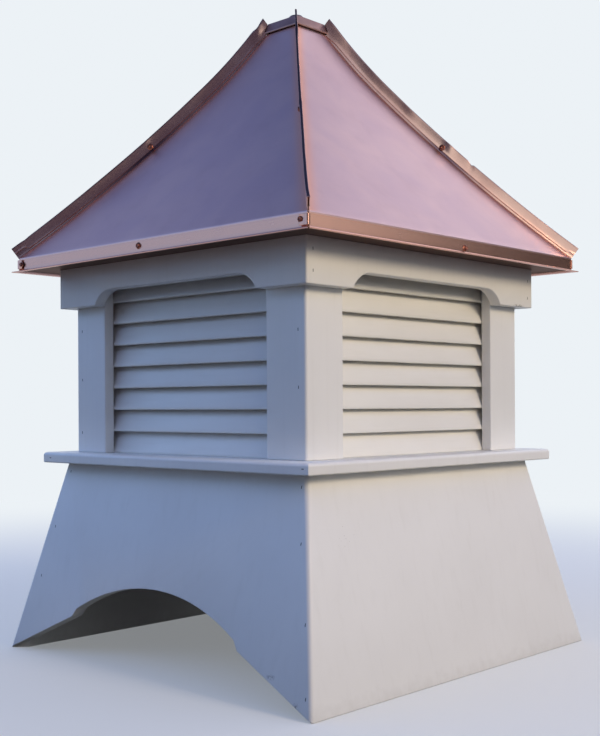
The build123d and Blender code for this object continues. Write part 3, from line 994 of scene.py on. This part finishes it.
stage = {
    "floor": "#ebe8e1",
    "bounce": "#45433f",
    "floorRadius": 30,
    "floorCorners": 96,
    # metres from the middle where the floor begins and ends its fade, and its first share
    "fadeRange": {"From Min": 0.5, "From Max": 2.8, "To Min": 0.25},
    "backdrop": "#d6dbdf",
    "worldStrength": 1.25,
    "coolSky": "#a6ccff",
    "coolWay": (-0.55, -0.83, 0.0),
    "coolRange": {"From Min": 0.15, "From Max": 0.75},  # of a direction's dot product with it
    # the next ranges go by the direction's height, 0 at the horizon and 1 overhead
    "coolRise": {"From Max": 0.1},
    "zenith": ("#7990ca", {"From Min": 0.33, "From Max": 0.68}),
    "deepSky": ("#333f5f", {"From Min": 0.66, "From Max": 0.88}),
    "litRange": {"From Max": 0.6, "To Min": 0.62, "To Max": 2.35},  # the light on matt surfaces
    # place, target, width, power and tint: a low warm key from the right, and a soft panel
    # high behind that the right roof mirrors
    "lamps": {
        "key lamp": ((4.0, 0.2, 2.0), (0, 0, 0.4), 1.1, 72, "#ffe6c2"),
        "sky panel": ((0.7, 3.6, 3.8), (0.1, 0, 0.7), 2.6, 21, "#fff5e8"),
    },
    # each card's two ends and height, in metres, and its colour
    "cards": [
        ((-1.2, -4.2), (1.6, -3.75), 2.4, "#524e64"),
        ((0.9, -3.1), (3.15, -2.05), 3.0, "#524e64"),
        ((2.85, 3.25), (0.6, 4.2), 2.4, "#2c2a30"),
    ],
}


# 1 for the rays that show the stage itself: the camera's, mirrored and passing ones
def seenRays(tree):
    rays = addNode(tree, "ShaderNodeLightPath").outputs
    direct = addNode(tree, "ShaderNodeMath", {0: rays["Is Camera Ray"], 1: rays["Is Glossy Ray"]})
    return addNode(tree, "ShaderNodeMath", {0: direct.outputs[0], 1: rays["Is Transmission Ray"]}).outputs[0]


# a pale floor that fades into the horizon's colour far from the cupola
floorMesh = bpy.data.meshes.new("floor")
ring = np.linspace(0, 2 * math.pi, stage["floorCorners"], endpoint=False)
corners = stage["floorRadius"] * np.stack([np.cos(ring), np.sin(ring), 0 * ring], -1)
floorMesh.from_pydata(corners.tolist(), [], [list(range(len(corners)))])
floor = bpy.data.objects.new("floor", floorMesh)
bpy.context.scene.collection.objects.link(floor)
floorPaint, tree = startMaterial("studio floor, matt paint")
coords = addNode(tree, "ShaderNodeTexCoord").outputs["Object"]
distance = addNode(tree, "ShaderNodeVectorMath", {0: coords}, operation="LENGTH").outputs["Value"]
inputs = {"Value": distance, **stage["fadeRange"]}
fade = addNode(tree, "ShaderNodeMapRange", inputs, interpolation_type="SMOOTHERSTEP")
near = addNode(tree, "ShaderNodeBsdfDiffuse", {"Color": paint(stage["floor"])})
inputs = {"Color": paint(stage["backdrop"]), "Strength": stage["worldStrength"]}
far = addNode(tree, "ShaderNodeEmission", inputs)
pale = addNode(tree, "ShaderNodeMixShader", {0: fade.outputs[0], 1: near.outputs[0], 2: far.outputs[0]})
# matt surfaces are lit from below as if over dark ground, and all else sees the pale floor
bounce = addNode(tree, "ShaderNodeBsdfDiffuse", {"Color": paint(stage["bounce"])})
blend = addNode(tree, "ShaderNodeMixShader", {0: seenRays(tree), 1: bounce.outputs[0], 2: pale.outputs[0]})
addNode(tree, "ShaderNodeOutputMaterial", {"Surface": blend.outputs[0]})
floorMesh.materials.append(floorPaint)

# the world is pale round the horizon, bluer toward the front left, and deeper overhead
world = bpy.data.worlds.new("soft studio dome")
bpy.context.scene.world = world
world.use_nodes = True
tree = world.node_tree
tree.nodes.clear()
direction = addNode(tree, "ShaderNodeTexCoord").outputs["Generated"]
facing = addNode(tree, "ShaderNodeVectorMath", {0: direction, 1: stage["coolWay"]}, operation="DOT_PRODUCT")
inputs = {"Value": facing.outputs["Value"], **stage["coolRange"]}
turnCool = addNode(tree, "ShaderNodeMapRange", inputs, interpolation_type="SMOOTHSTEP")
rise = addNode(tree, "ShaderNodeSeparateXYZ", {0: direction}).outputs["Z"]
inputs = {"Value": rise, **stage["coolRise"]}
riseCool = addNode(tree, "ShaderNodeMapRange", inputs, interpolation_type="SMOOTHSTEP")
inputs = {0: turnCool.outputs[0], 1: riseCool.outputs[0]}
cool = addNode(tree, "ShaderNodeMath", inputs, operation="MULTIPLY")
inputs = {0: cool.outputs[0], 6: paint(stage["backdrop"]), 7: paint(stage["coolSky"])}
sky = addNode(tree, "ShaderNodeMix", inputs, data_type="RGBA")
lowLight = addNode(tree, "ShaderNodeMapRange", {"Value": rise, **stage["litRange"]})
for tone, heights in (stage["zenith"], stage["deepSky"]):
    climb = addNode(tree, "ShaderNodeMapRange", {"Value": rise, **heights}, interpolation_type="SMOOTHSTEP")
    inputs = {0: climb.outputs[0], 6: sky.outputs[2], 7: paint(tone)}
    sky = addNode(tree, "ShaderNodeMix", inputs, data_type="RGBA")

# matt surfaces are lit as if the horizon was in shade, and all else sees it pale
glow = addNode(tree, "ShaderNodeBackground", {"Color": sky.outputs[2], "Strength": stage["worldStrength"]})
lit = addNode(tree, "ShaderNodeBackground", {"Color": sky.outputs[2], "Strength": lowLight.outputs[0]})
blend = addNode(tree, "ShaderNodeMixShader", {0: seenRays(tree), 1: lit.outputs[0], 2: glow.outputs[0]})
addNode(tree, "ShaderNodeOutputWorld", {"Surface": blend.outputs[0]})

for name, (place, target, size, power, tint) in stage["lamps"].items():
    data = bpy.data.lights.new(name, "AREA")
    data.shape = "DISK"
    data.size = size
    data.energy = power
    data.color = paint(tint)[:3]
    lamp = bpy.data.objects.new(name, data)
    lamp.location = place
    lamp.rotation_euler = (Vector(target) - Vector(place)).to_track_quat("-Z", "Y").to_euler()
    bpy.context.scene.collection.objects.link(lamp)

# dim cards, two in front and one behind, for the fins and fascias to mirror
for first, last, top, tone in stage["cards"]:
    cardPaint, tree = startMaterial("studio card, dim screen")
    cardSkin = addNode(tree, "ShaderNodeEmission", {"Color": paint(tone), "Strength": 1.0})
    addNode(tree, "ShaderNodeOutputMaterial", {"Surface": cardSkin.outputs[0]})
    cardMesh = bpy.data.meshes.new("card")
    cardMesh.from_pydata([(*first, 0), (*last, 0), (*last, top), (*first, top)], [], [(0, 1, 2, 3)])
    cardMesh.materials.append(cardPaint)
    card = bpy.data.objects.new("card", cardMesh)
    bpy.context.scene.collection.objects.link(card)
    card.visible_camera = False

# the photo's camera: level, 43 degrees round from the front, just above the base
view = {
    "place": (1.1604, -1.2335, 0.3582),
    "forward": (-0.6839, 0.7295, 0.0),
    "roll": -0.288,  # degrees
    "lens": 55.01,  # mm, over a sensor of the width below
    "sensor": 36,
    "shiftUp": 0.0512,
    "nearest": 0.05,
}
forward = Vector(view["forward"]).normalized()
level = forward.cross(Vector((0, 0, 1)))
tilt = math.radians(view["roll"])
right = level * math.cos(tilt) + Vector((0, 0, 1)) * math.sin(tilt)
up = right.cross(forward)
camera = bpy.data.objects.new("camera", bpy.data.cameras.new("camera"))
bpy.context.scene.collection.objects.link(camera)
camera.matrix_world = Matrix.Translation(view["place"]) @ Matrix((right, up, -forward)).transposed().to_4x4()
camera.data.sensor_width = view["sensor"]
camera.data.lens = view["lens"]
camera.data.shift_y = view["shiftUp"]
camera.data.clip_start = view["nearest"]
bpy.context.scene.camera = camera
bpy.context.scene.view_settings.view_transform = "Standard"
